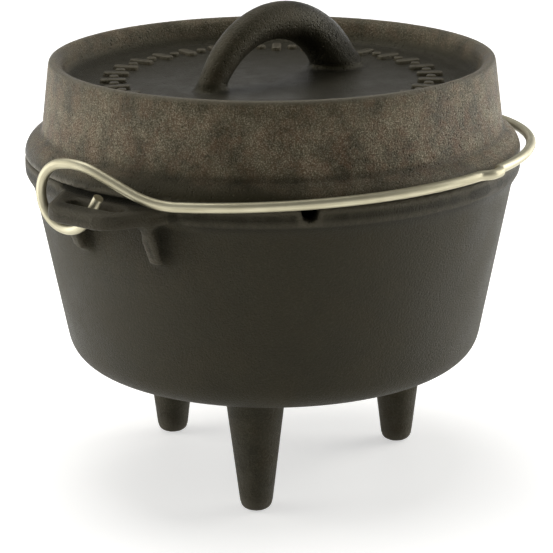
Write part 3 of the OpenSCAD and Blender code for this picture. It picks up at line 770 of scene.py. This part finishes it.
bow_radii = bow_radii[:1] + bow_radii + bow_radii[-1:]
bow = placed(swept(bow_points, bow_radii, 32, lid_iron), turn(LID_TURN))
print("bow", len(bow.polygons), "faces")

# %% [markdown]
# ## Casting the lid
# The lid's outer wall is roughest and palest at its flanks, which face the side lamps. This is partly coarse skin and
# partly a painted highlight, while the wall towards the camera and the wall opposite stay darker as painted shade.
# Above the shoulder the wall turns darker along a ragged edge, and the crest is calmer. Inside, the tray's floor is a
# little darker, and darkest round the stout foot of the handle, partly with soot and partly as painted shade of the
# handle. The tray's wall is a little rough.

# %% Cast the lid
# The side of the lid that faces the camera, where its wall gets painted shade.
LID_PAINTED_SHADE_SIDE = math.radians(212)
WALL_HEIGHTS = (RIM_Z + 2, RIM_Z + 5, RIM_Z + 8, RIM_Z + 14, LID_TOP - 10, LID_TOP - 2)
WALL_LEVELS = (-0.25, -0.05, 0.35, 1.0, 1.0, 0.5)


def lid_skin_and_light(r, z, angle):
    # Paler flanks across the line of sight: partly coarse skin, partly a painted highlight; front and back darker as
    # painted shade.
    flank_highlight = np.interp(math.sin(angle - LID_PAINTED_SHADE_SIDE), (-0.9, -0.1, 0.1, 0.9), (0.5, 0.0, 0.0, 1.12))
    ragged = z + 3.5 * flank_highlight + 1.2 * math.sin(5 * angle + 0.6) + 0.6 * math.sin(13 * angle)
    wall = np.interp(ragged, WALL_HEIGHTS, WALL_LEVELS) * (0.42 + 0.58 * flank_highlight)
    # Darker towards the handle's stout foot and on the tray floor: partly soot, partly painted shade of the handle.
    handle_shade = np.interp(r * math.cos(angle), (6, 24), (-0.02, -0.5))
    raised = np.interp(r, (50, 60), (handle_shade, 0.16))
    inside = np.interp(z, (TRAY_Z + 1, TRAY_Z + 4), (-0.12, raised))
    return float(np.interp(r, (CREST_OUT - 3, CREST_OUT - 1), (inside, wall)))


lid = cast("lid_casting", [lid_cap, bow], voxel=0.98, passes=3, material=lid_iron, level=lid_skin_and_light)

# %% [markdown]
# ## Raised marks on the tray
# Such lids carry some raised relief on the tray, which the sand mould leaves soft. Here it is a plain ring of bars and
# dots, made from two small blocks with slanted sides and set round the tray by the same node tree as the legs. Each
# block has its own edge values, so that its top is paler, partly from wear and partly as a painted highlight, and the
# corner at its foot is darker, partly from soot and partly as painted shade.

# %% Block for one mark
BLOCK_SIDES = 24


def block(long, wide, high, corner):
    shape = bmesh.new()
    edge = shape.verts.layers.float.new("edge")
    # Edge values rise from the foot to the top: painted shade at the foot, painted highlight and wear on the top.
    slope = ((-0.25, -0.2, 0.05), (0.0, 0.15, 0.3), (0.25, high - 0.25, 0.9), (0.55, high, 0.95), (1.0, high, 0.75))
    rows = []
    for inset, z, worn_and_lit in slope:
        half_x, half_y = long / 2 - inset, wide / 2 - inset
        r = min(corner, half_x, half_y) * 0.98
        row = []
        for k in range(BLOCK_SIDES):
            a = 2 * math.pi * (k + 0.5) / BLOCK_SIDES
            x = math.copysign(half_x - r, math.cos(a)) + r * math.cos(a)
            y = math.copysign(half_y - r, math.sin(a)) + r * math.sin(a)
            row.append(shape.verts.new((x * MM, y * MM, z * MM)))
            row[-1][edge] = worn_and_lit
        rows.append(row)
    for low, top in zip(rows, rows[1:]):
        for k in range(BLOCK_SIDES):
            after = (k + 1) % BLOCK_SIDES
            shape.faces.new((low[k], low[after], top[after], top[k]))
    shape.faces.new(rows[-1])
    return made_mesh(shape, "block")

# %% Set the relief round the tray
MARKS, MARK_RING, MARK_W, MARK_H = 30, 55.5, 3.8, 1.3
BAR_L, BAR_CORNER = 9.5, 1.3


def ring_of(mark, first_angle):
    return run_tree(mark, ring_tree, Count=MARKS, Ring_radius=MARK_RING * MM, First_angle=first_angle,
                    Material=lid_iron)


bars = ring_of(block(BAR_L, MARK_W, MARK_H, BAR_CORNER), 0.0)
dots = ring_of(block(MARK_W, MARK_W, MARK_H, MARK_W / 2), math.pi / MARKS)
relief_mesh = joined([bars, dots])
relief_mesh.transform(Matrix.Translation((0, 0, TRAY_Z * MM)))
outward(relief_mesh).shade_smooth()
relief_mesh.materials.append(lid_iron)
relief = add_object("lid_relief", relief_mesh)
print("relief", 2 * MARKS, "marks")

# %% [markdown]
# ## The bail
# The bail is one wire: a leaning end in the hole of the ear, an open eye, a shank that comes off the top of the eye, a
# long arc round the rim and a small hump in the middle. The route is a list of corners with bend radii, as a wire
# bender would set it up, and the swept bar follows it.

# %% Sizes of the bail
BAIL_R, BAIL_LIFT, SLOPE = RIM_R + 3.5, -0.9, math.tan(math.radians(2.85))
TIP_LEAN, TIP_RISE, SHANK_ANGLE, SHANK_PITCH = 33.0, 2.4, 18.7, 10.0
SHANK_BEND, SHANK_RUN, ARC_BEND, ARC_RUN = 24.0, 0.335, 36.5, 0.255
HUMP_H, HUMP_HALF, HUMP_BEND, HUMP_TOP = 2.5, 7.0, 4.0, 0.4


def eye_point(degrees):
    a = math.radians(degrees)
    return Vector((-EYE_X, EYE_Y - EYE_R * math.cos(a), EYE_Z + EYE_R * math.sin(a)))


def on_bail(x, y):
    return Vector((x, y, RIM_Z + BAIL_LIFT - y * SLOPE))


def on_arc(degrees, r):
    a = math.radians(degrees)
    return on_bail(-r * math.cos(a), -r * math.sin(a))

# %% Lay out the wire's route
lean, pitch = math.radians(TIP_LEAN), math.radians(SHANK_PITCH)
tip_low = eye_point(-TIP_LEAN)
tip_top = tip_low + Vector((0, -math.sin(lean), math.cos(lean))) * (EAR_TOP + TIP_RISE - tip_low.z) / math.cos(lean)
eye = [eye_point(a) for a in np.linspace(360 - TIP_LEAN, 90 + SHANK_PITCH, 64)]
shank = eye[-1] + SHANK_RUN * SHANK_BEND * Vector((0, -math.cos(pitch), math.sin(pitch)))
arc_to = math.degrees(math.acos(HUMP_HALF / BAIL_R))
arc_half = (arc_to - SHANK_ANGLE) / 2
arc_corner = on_arc(SHANK_ANGLE + arc_half, BAIL_R / math.cos(math.radians(arc_half)))
arc_first, arc_last = on_arc(SHANK_ANGLE, BAIL_R), on_arc(arc_to, BAIL_R)
before_arc = arc_first - ARC_RUN * ARC_BEND * (arc_corner - arc_first).normalized()
hump_in = arc_last + HUMP_HALF / 4 * (arc_last - arc_corner).normalized()
hump_out = on_bail(-HUMP_HALF * HUMP_TOP, -(BAIL_R + HUMP_H))
half = [(*eye[-1], 0), (*shank, SHANK_BEND), (*before_arc, ARC_BEND), (*arc_corner, BAIL_R),
        (*hump_in, HUMP_BEND), (*hump_out, HUMP_BEND)]
route = half + [(-x, y, z, r) for x, y, z, r in reversed(half)]
left_end = [tip_top, tip_low] + eye[1:-1]
right_end = [Vector((-p.x, p.y, p.z)) for p in reversed(left_end)]
wire = left_end + rounded(route, step=math.radians(3)) + right_end
print("wire", round(sum((b - a).length for a, b in zip(wire, wire[1:]))), "mm long")

# %% Sweep the bail
bail_mesh = swept(wire, [WIRE_R] * len(wire), 20, bail_steel)
bail_mesh.shade_smooth()
bail_mesh.set_sharp_from_angle(angle=math.radians(40))
bail = add_object("bail_wire", bail_mesh)
print("bail", len(bail_mesh.polygons), "faces")

# %% [markdown]
# ## Riding on the frame
# Each piece now takes the place of its exact solid and moves with that solid's body, so that the bail still swings and
# the lid still lifts.

# %% Attach the pieces and finish
for piece, node, slot in ((pot, "pot", "pot_iron"), (lid, "lid", "lid_iron"), (bail, "bail", "bail_wire")):
    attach(piece, node)
    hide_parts(node)
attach(relief, "lid")
